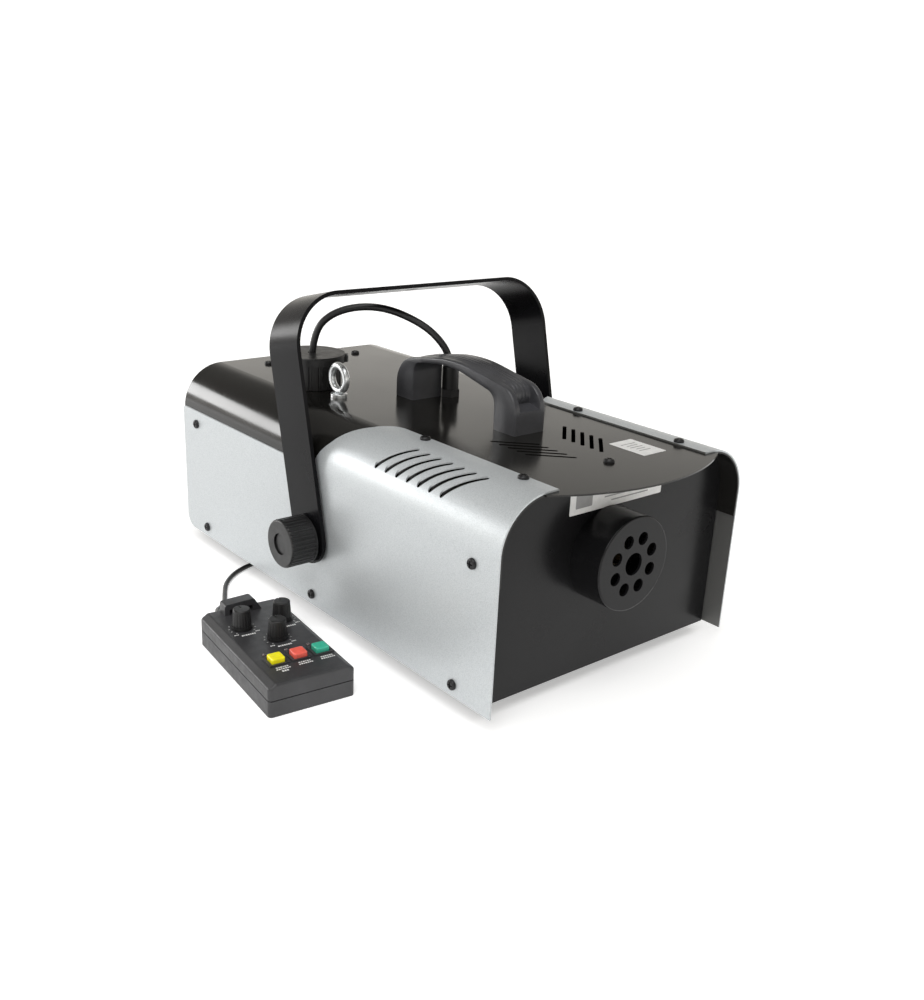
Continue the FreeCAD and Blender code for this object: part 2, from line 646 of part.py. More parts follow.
def make_fuse_holder():
    face = REAR_PANEL_Y + CHASSIS_SHEET
    flange = ring(9.0, 6.8, 2.5, Vec(FUSE.x, face, FUSE.z), AXIS_Y)
    barrel = rod(7.0, face - 178, Vec(FUSE.x, 178, FUSE.z), AXIS_Y)
    return fused([flange, barrel.cut(rod(6.8, 30, Vec(FUSE.x, 181, FUSE.z), AXIS_Y))])


def make_fuse_cap():
    start = 204.0
    cap = rod(6.3, 9.0, Vec(FUSE.x, start, FUSE.z), AXIS_Y)
    cap = rounded(cap, 0.8, lambda edge: edge.BoundBox.YMin > start + 8.9)
    slot = box(FUSE.x - 4.5, FUSE.x + 4.5, start + 7.8, start + 12, FUSE.z - 0.7, FUSE.z + 0.7)
    return cap.cut(slot).fuse(rod(2.6, 20, Vec(FUSE.x, start - 20, FUSE.z), AXIS_Y)).removeSplitter()


def make_remote_socket():
    face = REAR_PANEL_Y + CHASSIS_SHEET
    flange = rounded(rod(12.0, 2.0, Vec(PLUG.x, face, PLUG.z), AXIS_Y), 0.8,
                     lambda edge: edge.BoundBox.YMin > face + 1.9)
    barrel = rod(8.8, face - 190, Vec(PLUG.x, 190, PLUG.z), AXIS_Y)
    return fused([flange, barrel]).cut(rod(6.2, 30, Vec(PLUG.x, 193, PLUG.z), AXIS_Y))


def make_plug():
    sleeve = rod(6.0, 13.0, Vec(PLUG.x, 196.0, PLUG.z), AXIS_Y)
    grip = rod(8.0, 27.0, PLUG, AXIS_Y)
    grip = rounded(grip, 1.2, lambda edge: edge.Closed)
    boot = Part.makeCone(5.2, 3.0, 18.0, PLUG + Vec(0, 27, 0), AXIS_Y)
    flutes = []
    for index in range(12):
        angle = math.radians(30 * index)
        spot = PLUG + Vec(8.3 * math.cos(angle), 3, 8.3 * math.sin(angle))
        flutes.append(rod(0.9, 12, spot, AXIS_Y))
    return without(fused([sleeve, grip, boot]), flutes)


# ---------------------------------------------------------------- bracket
def lean(shape):
    """Tilt a shape made upright about the bracket's pivot, to the rest position."""
    leaning = shape.copy()
    leaning.rotate(Vec(0, PIVOT_Y, PIVOT_Z), AXIS_X, -BRACKET_LEAN)
    return leaning


def make_bracket():
    half_strip = BRACKET_STRIP / 2
    top = PIVOT_Z + BRACKET_REACH
    low = PIVOT_Z - half_strip
    front, back = PIVOT_Y - half_strip, PIVOT_Y + half_strip
    outer = casing_section(BRACKET_HALF, top, BRACKET_BEND, low, front, back)
    hollow = casing_section(BRACKET_HALF - BRACKET_SHEET, top - BRACKET_SHEET,
                            BRACKET_BEND - BRACKET_SHEET, low - 1, front - 1, back + 1)
    side_view = prism("yz", [(front, low, half_strip - 0.01), (back, low, half_strip - 0.01),
                             (back, top + 1), (front, top + 1)], -BRACKET_HALF - 1, BRACKET_HALF + 1)
    span = 2 * BRACKET_HALF + 10
    cuts = [rod(4.4, span, Vec(-span / 2, PIVOT_Y, PIVOT_Z), AXIS_X),
            rod(CLAMP_HOLE_RADIUS, 10, Vec(0, PIVOT_Y, top - 6))]
    return lean(without(outer.cut(hollow).common(side_view), cuts))


def make_washers():
    washers = []
    for side in (-1, 1):
        washers.append(ring(14.0, 4.6, 2.7, Vec(side * (HALF_WIDTH + 0.1), PIVOT_Y, PIVOT_Z), AXIS_X * side))
    return washers


def make_pivot_nuts():
    inside = HALF_WIDTH - SHEET - SKIN_GAP - CHASSIS_SHEET - 1.5
    nuts = []
    for side in (-1, 1):
        base = Vec(side * inside, PIVOT_Y, PIVOT_Z)
        nuts.append(ring(8.0, PIVOT_BORE, 9.0, base, AXIS_X * -side))
    return nuts


def make_clamp_knob(side):
    """Grip with 36 ridges and a flat insert in its face; made along +Z, then laid along X."""
    thick = 22.5
    radius = 19.0
    grip = rounded(rod(radius, thick, Vec(0, 0, 2.5)), 2.0,
                   lambda edge: edge.Closed and edge.BoundBox.ZMin > thick)
    hub = rod(11.5, 2.5, Vec(0, 0, 0))
    grooves = []
    for index in range(36):
        angle = math.radians(10 * index)
        spot = Vec((radius + 0.5) * math.cos(angle), (radius + 0.5) * math.sin(angle), 4.0)
        grooves.append(rod(1.25, thick, spot))
    dish = rod(8.4, 3, Vec(0, 0, thick + 2.5 - 2.4))
    knob = without(fused([grip, hub]), grooves + [dish, rod(4.0, 18, Vec(0, 0, -1))])
    stud = rod(4.0, 17 + 20, Vec(0, 0, -20))
    insert = rod(8.1, 1.0, Vec(0, 0, thick + 2.5 - 2.4))
    seat = Vec(side * (BRACKET_HALF + 0.15), PIVOT_Y, PIVOT_Z)
    return [seated(shape, seat, AXIS_X * side) for shape in (knob, stud, insert)]


# ---------------------------------------------------------------- remote control
def to_floor(shape):
    """Move a shape made in the remote's own frame to where the remote lies."""
    placed = shape.copy()
    placed.rotate(Vec(0, 0, 0), AXIS_Z, REMOTE_TURN)
    placed.translate(REMOTE_CORNER)
    return placed


def remote_block(inset, low, high):
    """The remote's outline drawn in by inset, with a bevel along its long upper edges."""
    right = REMOTE_WIDTH - inset
    bevel = 5.5
    drop = 3.6
    corners = [(inset, low), (right, low), (right, high - drop), (right - bevel, high),
               (inset + bevel, high), (inset, high - drop)]
    return prism("xz", corners, inset, REMOTE_LENGTH - inset)


def make_remote_shells():
    solid = remote_block(0.0, 0.0, REMOTE_HEIGHT)
    solid = rounded(solid, 3.0, lambda edge: upright(edge) and edge.BoundBox.ZLength > 5)
    solid = rounded(solid, 2.0, lambda edge: edge.BoundBox.ZMin > 15 and edge.BoundBox.ZLength < 3.7)
    hollow = remote_block(REMOTE_WALL, REMOTE_WALL, REMOTE_HEIGHT - REMOTE_WALL)
    case = solid.cut(hollow)
    groove = 0.35
    lower = case.common(box(-5, 70, -5, 130, -1, REMOTE_SEAM - groove))
    upper = case.common(box(-5, 70, -5, 130, REMOTE_SEAM + groove, 40))
    lip_outer = box(REMOTE_WALL - 0.9, REMOTE_WIDTH - REMOTE_WALL + 0.9, REMOTE_WALL - 0.9,
                    REMOTE_LENGTH - REMOTE_WALL + 0.9, REMOTE_SEAM - groove, REMOTE_SEAM + groove)
    lip = lip_outer.cut(box(REMOTE_WALL, REMOTE_WIDTH - REMOTE_WALL, REMOTE_WALL,
                            REMOTE_LENGTH - REMOTE_WALL, 0, 30))
    lower = fused([lower, lip])
    bosses = [rod(3.2, 8.0, Vec(x, y, REMOTE_WALL)) for x, y in remote_screw_spots()]
    lower = fused([lower] + bosses)
    sinks = [rod(3.0, 3.0, Vec(x, y, -1)) for x, y in remote_screw_spots()]
    bores = [rod(1.4, 14, Vec(x, y, -1)) for x, y in remote_screw_spots()]
    lower = without(lower, sinks + bores)
    cuts = []
    for _, x, y in KNOB_SPOTS:
        cuts.append(rod(3.4, 10, Vec(x, y, 18)))
    for _, x, y in BUTTON_SPOTS:
        rim = box(x - 7.6, x + 7.6, y - 7.2, y + 7.2, REMOTE_HEIGHT - 0.5, REMOTE_HEIGHT + 1.0)
        upper = upper.fuse(rim)
        cuts.append(box(x - 5.6, x + 5.6, y - 5.6, y + 5.6, 18, 30))
    cuts.extend(rod(1.6, 10, Vec(x, y, 18)) for x, y in lamp_spots())
    boot_hole = rod(3.0, 10, Vec(REMOTE_CABLE[0], REMOTE_LENGTH - 5, REMOTE_CABLE[1]), AXIS_Y)
    return lower.cut(boot_hole), without(upper.removeSplitter(), cuts)


def lamp_spots():
    return [(x + LAMP_OFFSET[0], y + LAMP_OFFSET[1]) for _, x, y in BUTTON_SPOTS]


def remote_screw_spots():
    return [(x, y) for x in (8.0, 57.0) for y in (8.0, REMOTE_LENGTH - 9.0)]


def make_remote_knob(x, y):
    base = REMOTE_HEIGHT + 0.5
    skirt = rod(7.8, 2.2, Vec(x, y, base))
    top = base + 15.0
    body = Part.makeCone(7.0, 6.2, 12.8, Vec(x, y, base + 2.2))
    body = rounded(body, 0.8, at_height(top))
    flutes = []
    for index in range(18):
        angle = math.radians(20 * index)
        foot = Vec(x + 7.25 * math.cos(angle), y + 7.25 * math.sin(angle), base + 2.2)
        tilt = Vec(-0.8 * math.cos(angle) / 12.8, -0.8 * math.sin(angle) / 12.8, 1)
        flutes.append(rod(0.55, 10.8, foot, tilt))
    pointer = box(x - 0.5, x + 0.5, y + 1.5, y + 9, top - 0.8, top + 2)
    shaft = rod(3.0, base - 15, Vec(x, y, 15))
    return without(fused([skirt, body, shaft]), flutes + [pointer])


def make_remote_button(x, y):
    cap = box(x - 5.1, x + 5.1, y - 5.1, y + 5.1, 21.0, REMOTE_HEIGHT + 4.2)
    cap = rounded(cap, 1.6, lambda edge: upright(edge))
    cap = rounded(cap, 1.0, at_height(REMOTE_HEIGHT + 4.2))
    stem = box(x - 2, x + 2, y - 2, y + 2, SWITCH_TOP + BUTTON_TRAVEL + 0.1, 21.0)
    return fused([cap, stem])


def make_remote_insides():
    board_top = 12.0
    board = box(6, 59, 14, 102, board_top - 1.6, board_top)
    pots = []
    for _, x, y in KNOB_SPOTS:
        pot = ring(7.0, 3.06, 8.0, Vec(x, y, 14.0))
        pots.append(fused([pot, rod(7.0, 1.0, Vec(x, y, 13.0)), rod(2.0, 1.0, Vec(x, y, board_top))]))
    switches = [box(x - 4, x + 4, y - 4, y + 4, board_top, SWITCH_TOP) for _, x, y in BUTTON_SPOTS]
    lamps = []
    lamp_top = REMOTE_HEIGHT + 0.9
    for x, y in lamp_spots():
        lamp = rod(1.45, lamp_top - board_top, Vec(x, y, board_top))
        lamps.append(rounded(lamp, 1.0, at_height(lamp_top)))
    screw = pan_screw(head_radius=2.7, head_height=1.5, thread_radius=1.3, length=7.0)
    screws = [seated(screw, Vec(x, y, 2.0), Vec(0, 0, -1)) for x, y in remote_screw_spots()]
    return board, pots, switches, lamps, screws


def make_remote_hanger():
    corners = [(15.0, REMOTE_HEIGHT), (15.0, 33.0, 2.0), (38.5, 34.2, 2.0), (44.5, REMOTE_HEIGHT)]
    back = REMOTE_LENGTH - 2.5
    block = prism("xz", corners, back - 10, back)
    return block.cut(box(19, 37.5, back - 13, back - 3, REMOTE_HEIGHT - 1, REMOTE_HEIGHT + 4.5))


def make_remote_boot():
    x, height = REMOTE_CABLE
    flange = rod(4.6, 3.0, Vec(x, REMOTE_LENGTH, height), AXIS_Y)
    taper = Part.makeCone(4.0, 2.7, 12.0, Vec(x, REMOTE_LENGTH + 3, height), AXIS_Y)
    neck = rod(2.9, 6.0, Vec(x, REMOTE_LENGTH - 6, height), AXIS_Y)
    return fused([flange, taper, neck])


def build_remote():
    lower, upper = make_remote_shells()
    board, pots, switches, lamps, screws = make_remote_insides()
    add("remote_lower_shell", to_floor(lower))
    add("remote_upper_shell", to_floor(upper))
    add("remote_board", *[to_floor(piece) for piece in [board] + switches])
    add("remote_controls", *[to_floor(piece) for piece in pots])
    add("remote_lamps", *[to_floor(piece) for piece in lamps])
    add("remote_screws", *[to_floor(piece) for piece in screws])
    add("remote_hanger", to_floor(make_remote_hanger()))
    add("remote_boot", to_floor(make_remote_boot()))
    for name, x, y in KNOB_SPOTS:
        add("remote_knob_" + name, to_floor(make_remote_knob(x, y)))
    for name, x, y in BUTTON_SPOTS:
        add("remote_button_" + name, to_floor(make_remote_button(x, y)))


# ---------------------------------------------------------------- remote cable
def build_cable():
    run, run_length = tube_along(CABLE_ROUTE, CABLE_RADIUS, "remote_cable_run")
    tail, tail_length = tube_along(TAIL_ROUTE, CABLE_RADIUS, "remote_cable_tail")
    outer = COIL_INNER + CABLE_DIAMETER * (COIL_TURNS - 1) + CABLE_RADIUS
    inner = COIL_INNER - CABLE_RADIUS
    coil = ring(outer, inner, CABLE_DIAMETER * COIL_LAYERS, COIL_CENTRE)
    middle = COIL_INNER + CABLE_DIAMETER * (COIL_TURNS - 1) / 2
    coil_length = 2 * math.pi * middle * COIL_ROUNDS
    print("cable", round(run_length + coil_length + tail_length), "coil", round(coil_length))
    add("remote_cable_run", run)
    add("remote_cable_coil", coil)
    add("remote_cable_tail", tail)
    add("remote_plug", make_plug())


# ---------------------------------------------------------------- assembly
def build_casing():
    add("base_chassis", make_chassis())
    add("top_cover", make_cover())
    add("side_panel_left", make_side_panel(-1))
    add("side_panel_right", make_side_panel(1))
    add("front_panel", make_front_panel())
    add("rear_panel", make_rear_panel())
    add("rubber_feet", *make_feet())
    add("foot_screws", *make_foot_screws())
    add("casing_screws", *side_screws(), *cover_screws())
    add("carry_handle", make_handle())
    add("handle_screws", *make_handle_screws())
    add("safety_eye", make_eye_bolt())
    add("safety_eye_nut", make_eye_nut())


def build_fluid():
    block, jacket, rails, discs = make_heater()
    add("fluid_tank", make_tank())
    add("tank_cap", make_cap())
    add("pickup_tube", *make_pickup_tube())
    add("fluid_hose", make_hose())
    add("hose_gland", make_gland())
    add("heater_block", block)
    add("heater_jacket", jacket)
    add("heater_rails", *rails)
    add("thermostats", *discs)
    add("nozzle_tip", make_nozzle_tip())
    add("nozzle_shroud", make_shroud())
    add("fluid_pump", make_pump())
    add("pump_tubes", *make_pump_tubes())


def build_electrics():
    add("control_board", *make_board())
    add("transformer", make_transformer())
    add("mains_inlet", make_inlet())
    add("inlet_screws", *make_inlet_screws())
    add("switch_frame", make_switch())
    add("power_rocker", make_rocker())
    add("fuse_holder", make_fuse_holder())
    add("fuse_cap", make_fuse_cap())
    add("remote_socket", make_remote_socket())


def build_bracket():
    add("hanging_bracket", make_bracket())
    add("friction_washers", *make_washers())
    add("pivot_nuts", *make_pivot_nuts())
    for side, name in ((-1, "left"), (1, "right")):
        knob, stud, insert = make_clamp_knob(side)
        add("clamp_knob_" + name, knob, insert)
        add("clamp_stud_" + name, stud)


def main():
    os.makedirs("parts", exist_ok=True)
    build_casing()
    build_fluid()
    build_electrics()
    build_bracket()
    build_remote()
    build_cable()
    for name, shape in NODES.items():
        if not shape.isValid():
            print("invalid shape:", name)
        shape.exportStep("parts/" + name + ".step")
    print(len(NODES), "nodes")


main()
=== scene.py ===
"""The looks of the fog machine: camera, light, materials, and the pieces that the CAD model leaves plain.

Lengths are metres in the part's own frame, unless a name ends in _MM.
"""
import json
import math

import bmesh
import bpy
from mathutils import Matrix, Vector


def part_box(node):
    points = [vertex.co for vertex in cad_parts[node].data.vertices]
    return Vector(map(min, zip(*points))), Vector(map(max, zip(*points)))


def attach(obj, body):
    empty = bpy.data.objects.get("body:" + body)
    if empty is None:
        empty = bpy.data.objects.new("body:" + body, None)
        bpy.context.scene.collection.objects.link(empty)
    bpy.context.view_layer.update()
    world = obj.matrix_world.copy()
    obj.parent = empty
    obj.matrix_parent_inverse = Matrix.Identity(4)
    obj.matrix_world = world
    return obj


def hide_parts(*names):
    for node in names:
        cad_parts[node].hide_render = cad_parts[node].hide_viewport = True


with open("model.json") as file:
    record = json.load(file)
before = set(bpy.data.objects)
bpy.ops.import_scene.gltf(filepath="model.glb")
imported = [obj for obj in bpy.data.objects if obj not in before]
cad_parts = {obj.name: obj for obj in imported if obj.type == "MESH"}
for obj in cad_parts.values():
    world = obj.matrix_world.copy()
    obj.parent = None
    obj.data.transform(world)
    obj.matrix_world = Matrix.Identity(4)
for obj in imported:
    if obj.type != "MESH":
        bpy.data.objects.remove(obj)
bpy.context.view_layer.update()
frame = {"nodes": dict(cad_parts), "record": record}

MM = 0.001
NODES = frame["nodes"]
SCENE = bpy.context.scene


def metres(points):
    return [Vector(point) * MM for point in points]


def link(obj):
    SCENE.collection.objects.link(obj)
    return obj


# ---------------------------------------------------------------- camera
CAMERA_PLACE = (-0.53802, -0.65796, 0.38147)
CAMERA_YAW = 0.6906          # radians, from +y towards +x
CAMERA_PITCH = -0.354        # radians above the horizon
CAMERA_ROLL = 0.0405         # radians, the right-hand side lifted
SENSOR_MM = 36.0
LENS_MM = 38.4
LENS_SHIFT = (0.0241, 0.0107)
CLIP_RANGE = (0.01, 50.0)


def make_camera():
    data = bpy.data.cameras.new("camera")
    data.sensor_width = SENSOR_MM
    data.lens = LENS_MM
    data.shift_x, data.shift_y = LENS_SHIFT
    data.clip_start, data.clip_end = CLIP_RANGE
    ahead = Vector((math.sin(CAMERA_YAW), math.cos(CAMERA_YAW), 0.0))
    forward = ahead * math.cos(CAMERA_PITCH) + Vector((0.0, 0.0, math.sin(CAMERA_PITCH)))
    level = Vector((math.cos(CAMERA_YAW), -math.sin(CAMERA_YAW), 0.0))
    above = level.cross(forward)
    right = level * math.cos(CAMERA_ROLL) + above * math.sin(CAMERA_ROLL)
    upward = above * math.cos(CAMERA_ROLL) - level * math.sin(CAMERA_ROLL)
    camera = link(bpy.data.objects.new("camera", data))
    turn = Matrix((right, upward, -forward)).transposed().to_4x4()
    camera.matrix_world = Matrix.Translation(CAMERA_PLACE) @ turn
    SCENE.camera = camera


# ---------------------------------------------------------------- cords
# The hose goes from the tank cap to its gland. Its points are (share of that way, height).
CAP_MM = Vector((-57, 100, 0))
GLAND_MM = Vector((22.5, 11, 0))
HOSE_ROUTE_MM = [(0.0, 176.0), (0.0, 207.0), (0.17, 227.5), (0.48, 234.0), (0.79, 221.5),
                 (0.955, 204.0), (1.0, 188.0), (1.0, 168.0)]
CABLE_ROUTE_MM = [(-188.1, 22.7, 9.0), (-186.0, 41.0, 7.0), (-170.0, 54.0, 2.5), (-158.5, 75.5, 2.0),
                  (-147.0, 95.0, 2.0), (-126.0, 112.5, 2.0), (-94.0, 121.0, 2.0),
                  (-56.0, 119.5, 2.0), (-20.0, 131.0, 2.0), (12.0, 155.0, 2.0),
                  (32.0, 188.0, 2.0), (40.0, 225.0, 2.0), (38.5, 262.0, 2.0)]
TAIL_ROUTE_MM = [(24.0, 286.2, 14.0), (6.0, 297.0, 10.0), (-13.0, 305.0, 4.5), (-33.0, 307.0, 4.0),
                 (-49.0, 300.0, 11.0), (-58.0, 287.0, 22.0), (-60.0, 271.0, 32.0), (-60.0, 254.0, 34.0)]
CABLE_MM = 4.0
HOSE_MM = 6.0
COIL_CENTRE_MM = Vector((10, 262, 0))
COIL_OUTER_MM = 28.0
COIL_TURNS = 4
COIL_LAYERS = 4
COIL_STEP = 20               # degrees between the points of a turn
COIL_SHIFT = 60              # degrees in which the cable moves over to the next turn or layer


def coil_points():
    """The coil's points: flat turns. The cable moves over at each turn's end, and climbs at a layer's end."""
    radius, height, angle = COIL_OUTER_MM, CABLE_MM / 2, 0
    points = []

    def go(degrees, wider=0.0, higher=0.0):
        nonlocal radius, height, angle
        count = degrees // COIL_STEP
        for _ in range(count):
            angle += COIL_STEP
            radius += wider / count
            height += higher / count
            drawn = radius / math.cos(math.radians(COIL_STEP / 2))
            way = Vector((math.cos(math.radians(angle)), math.sin(math.radians(angle)), 0))
            points.append(COIL_CENTRE_MM + way * drawn + Vector((0, 0, height)))

    whole_turn = 360 - COIL_SHIFT
    short_turn = whole_turn - COIL_SHIFT
    for layer in range(COIL_LAYERS):
        step = -CABLE_MM if layer % 2 == 0 else CABLE_MM
        for turn in range(COIL_TURNS - 1):
            go(short_turn if layer and turn == 0 else whole_turn)
            go(COIL_SHIFT, wider=step)
        if layer < COIL_LAYERS - 1:
            go(short_turn)
            go(COIL_SHIFT, higher=CABLE_MM)
    go(COIL_SHIFT)
    return points[:-1]


def cord_curve(name, points_mm, diameter_mm):
    """A round cord along a smooth spline that has these points as its control points."""
    data = bpy.data.curves.new(name, "CURVE")
    data.dimensions = "3D"
    data.resolution_u = 6
    data.bevel_depth = 1.0   # times each point's radius, so that the curve's box is no larger than the cord
    data.bevel_resolution = 5
    data.use_fill_caps = True
    spline = data.splines.new("NURBS")
    spline.points.add(len(points_mm) - 1)
    for control, point in zip(spline.points, metres(points_mm)):
        control.co = (*point, 1.0)
        control.radius = diameter_mm / 2 * MM
    spline.order_u = 3
    spline.use_endpoint_u = True
    return link(bpy.data.objects.new(name, data))


def make_cords():
    span = GLAND_MM - CAP_MM
    hose_points = [CAP_MM + span * share + Vector((0, 0, height)) for share, height in HOSE_ROUTE_MM]
    hose = cord_curve("fluid_hose_bent", hose_points, HOSE_MM)
    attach(hose, "casing")
    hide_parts("fluid_hose")
    cable_points = CABLE_ROUTE_MM + coil_points() + TAIL_ROUTE_MM
    cable = cord_curve("remote_cable", cable_points, CABLE_MM)
    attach(cable, "casing")
    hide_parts("remote_cable_run", "remote_cable_coil", "remote_cable_tail")
    return hose, cable


# ---------------------------------------------------------------- materials
class Finish:
    """A material being made: its shader, and short calls that add nodes to it."""

    def __init__(self, name, colour, metallic):
        self.material = bpy.data.materials.new(name)
        self.material.use_nodes = True
        self.tree = self.material.node_tree
        self.shader = self.tree.nodes["Principled BSDF"]
        self.colour = colour
        self.set_shader(Base_Color=(*colour, 1.0), Metallic=metallic)
        self.place = self.add("ShaderNodeTexCoord").outputs["Object"]
        self.height = None

    def add(self, kind, **settings):
        node = self.tree.nodes.new(kind)
        for key, value in settings.items():
            setattr(node, key, value)
        return node

    def join(self, source, target):
        self.tree.links.new(source, target)

    def noise(self, size, detail=3.0, stretch=None, roughness=0.5):
        """A noise whose blotches are about size metres across; stretch packs them closer along an axis."""
        node = self.add("ShaderNodeTexNoise")
        node.inputs["Scale"].default_value = 1.0 / size
        node.inputs["Detail"].default_value = detail
        node.inputs["Roughness"].default_value = roughness
        place = self.place
        if stretch:
            mapping = self.add("ShaderNodeMapping")
            mapping.inputs["Scale"].default_value = stretch
            self.join(place, mapping.inputs["Vector"])
            place = mapping.outputs["Vector"]
        self.join(place, node.inputs["Vector"])
        return node.outputs["Fac"]

    def cells(self, size, feature="F1"):
        """Irregular cells about size metres across."""
        node = self.add("ShaderNodeTexVoronoi", feature=feature)
        node.inputs["Scale"].default_value = 1.0 / size
        self.join(self.place, node.inputs["Vector"])
        return node

    def spread(self, value, low_in, high_in, low, high):
        """The value, with low_in..high_in mapped onto low..high."""
        node = self.add("ShaderNodeMapRange")
        self.join(value, node.inputs["Value"])
        for key, number in zip(("From Min", "From Max", "To Min", "To Max"), (low_in, high_in, low, high)):
            node.inputs[key].default_value = number
        return node.outputs["Result"]

    def tint(self, amount, colour):
        """Mix colour into what is there, by the amount given as a socket from 0 to 1."""
        node = self.add("ShaderNodeMix", data_type="RGBA")
        self.join(amount, node.inputs["Factor"])
        below = self.shader.inputs["Base Color"]
        if below.is_linked:
            self.join(below.links[0].from_socket, node.inputs["A"])
        else:
            node.inputs["A"].default_value = below.default_value
        node.inputs["B"].default_value = (*colour, 1.0)
        self.join(node.outputs["Result"], below)

    def shades(self, size, share):
        """Slow changes of lightness, by share of the colour."""
        amount = self.spread(self.noise(size), 0.35, 0.65, 0.0, 1.0)
        self.tint(amount, [channel * (1.0 - share) for channel in self.colour])

    def gloss(self, size, low, high, stretch=None):
        """Roughness that wanders between low and high."""
        value = self.spread(self.noise(size, 4.0, stretch), 0.3, 0.7, low, high)
        self.join(value, self.shader.inputs["Roughness"])

    def relief(self, value, depth, strength):
        """Bumps of a real depth in metres, on top of those made before."""
        node = self.add("ShaderNodeBump")
        node.inputs["Distance"].default_value = depth
        node.inputs["Strength"].default_value = strength
        self.join(value, node.inputs["Height"])
        if self.height:
            self.join(self.height, node.inputs["Normal"])
        self.height = node.outputs["Normal"]
        self.join(self.height, self.shader.inputs["Normal"])

    def set_shader(self, **values):
        """Constants for the shader's own sockets, by their names with underscores for spaces."""
        for name, value in values.items():
            self.shader.inputs[name.replace("_", " ")].default_value = value


# painted shade: the grey laid on the side panels' inward faces, where shade falls
INWARD_PAINTED_SHADE = (0.14, 0.14, 0.136)
SILVER = ((0.47, 0.50, 0.515), 0.35)   # colour, metallic


# Each recipe below lays its layers on a finish. Sizes and depths are metres.
def black_coat(finish):
    """Semi-gloss paint: a soft mirror over a faint orange peel."""
    finish.shades(0.09, 0.25)
    finish.gloss(0.05, 0.13, 0.19)
    finish.set_shader(Specular_IOR_Level=0.42)
    finish.relief(finish.noise(0.0012, 2.0), 0.00002, 0.25)
    finish.relief(finish.noise(0.00035, 2.0), 0.000008, 0.3)


def satin_coat(finish, sheen=0.22):
    """Powder coat: a dull sheen over a fine orange peel."""
    finish.shades(0.06, 0.3)
    finish.gloss(0.03, 0.22, 0.28)
    finish.relief(finish.noise(0.0010, 2.0), 0.00003, 0.4)
    finish.set_shader(Specular_IOR_Level=sheen)


def dark_satin_coat(finish):
    satin_coat(finish, sheen=0.10)


def silver_coat(finish):
    """Metallic paint: bright and dark flakes in a grey ground."""
    flakes = finish.cells(0.00055)
    finish.tint(finish.spread(flakes.outputs["Distance"], 0.1, 0.75, 0.35, 0.0), (0.86, 0.87, 0.88))
    finish.tint(finish.spread(finish.noise(0.0008, 2.0), 0.52, 0.72, 0.0, 0.35), (0.33, 0.34, 0.35))
    finish.gloss(0.002, 0.34, 0.44)
    finish.relief(finish.noise(0.0007, 2.0), 0.00003, 0.3)


def panel_coat(finish, outward):
    """The silver paint, with painted shade: a darker grey on the faces that look inward. outward is the sign
    of the panel's x.
    """
    silver_coat(finish)
    normal = finish.add("ShaderNodeSeparateXYZ")
    finish.join(finish.add("ShaderNodeNewGeometry").outputs["True Normal"], normal.inputs["Vector"])
    # painted shade: faces that look inward are tinted darker
    inward = finish.spread(normal.outputs["X"], -0.5 * outward, -0.9 * outward, 0.0, 1.0)
    finish.tint(inward, INWARD_PAINTED_SHADE)


def left_panel_coat(finish):
    panel_coat(finish, -1)


def right_panel_coat(finish):
    panel_coat(finish, 1)


def moulded(finish, rough_low, rough_high, grain=0.0005, depth=0.00003):
    """Moulded plastic with a fine spark-eroded texture."""
    finish.shades(0.03, 0.3)
    finish.gloss(0.006, rough_low, rough_high)
    finish.relief(finish.noise(grain, 3.0, roughness=0.6), depth, 0.6)


def black_plastic(finish):
    moulded(finish, 0.34, 0.46)


def remote_plastic(finish):
    moulded(finish, 0.36, 0.5, grain=0.0006, depth=0.00004)


def grip_plastic(finish):
    moulded(finish, 0.30, 0.40, grain=0.0006, depth=0.00004)


def black_screw(finish):
    finish.shades(0.002, 0.4)
    finish.gloss(0.001, 0.26, 0.42)
    finish.relief(finish.noise(0.0003), 0.00001, 0.4)


def bright_zinc(finish):
    """Bright zinc plating: a mirror with faint clouds and fine pits."""
    finish.shades(0.004, 0.14)
    finish.gloss(0.0025, 0.26, 0.38)
    finish.relief(finish.noise(0.0015, 3.0), 0.00004, 0.4)


def zinc_steel(finish):
    finish.shades(0.006, 0.25)
    finish.gloss(0.002, 0.28, 0.42, stretch=(1.0, 1.0, 12.0))
    finish.relief(finish.noise(0.0006, 2.0, stretch=(1.0, 1.0, 10.0)), 0.00001, 0.5)


def rubber(finish):
    finish.shades(0.01, 0.35)
    finish.gloss(0.004, 0.55, 0.75)
    finish.relief(finish.noise(0.0004, 3.0), 0.00004, 0.6)


def smooth_jacket(finish):
    """Extruded jacket of a hose or a cable, with a soft sheen."""
    finish.shades(0.02, 0.3)
    finish.gloss(0.003, 0.30, 0.42)
    finish.relief(finish.noise(0.0009, 2.0), 0.00002, 0.4)


def tank_plastic(finish):
    finish.shades(0.03, 0.12)
    finish.gloss(0.01, 0.35, 0.5)
    finish.relief(finish.noise(0.002, 2.0), 0.00003, 0.4)
    finish.set_shader(Subsurface_Weight=0.25, Subsurface_Scale=0.004)


def cast_aluminium(finish):
    finish.shades(0.01, 0.2)
    finish.gloss(0.003, 0.4, 0.6)
    finish.relief(finish.noise(0.0012, 4.0), 0.0001, 0.7)


def insulation(finish):
    """Woven glass fibre: a grid of crossing yarns."""
    weave = finish.add("ShaderNodeTexWave", wave_type="BANDS", bands_direction="DIAGONAL")
    weave.inputs["Scale"].default_value = 420.0
    finish.join(finish.place, weave.inputs["Vector"])
    finish.relief(weave.outputs["Fac"], 0.0003, 0.7)
    finish.shades(0.008, 0.25)
    finish.gloss(0.003, 0.8, 0.95)


def turned_brass(finish):
    finish.shades(0.004, 0.2)
    finish.gloss(0.001, 0.2, 0.35, stretch=(1.0, 14.0, 1.0))


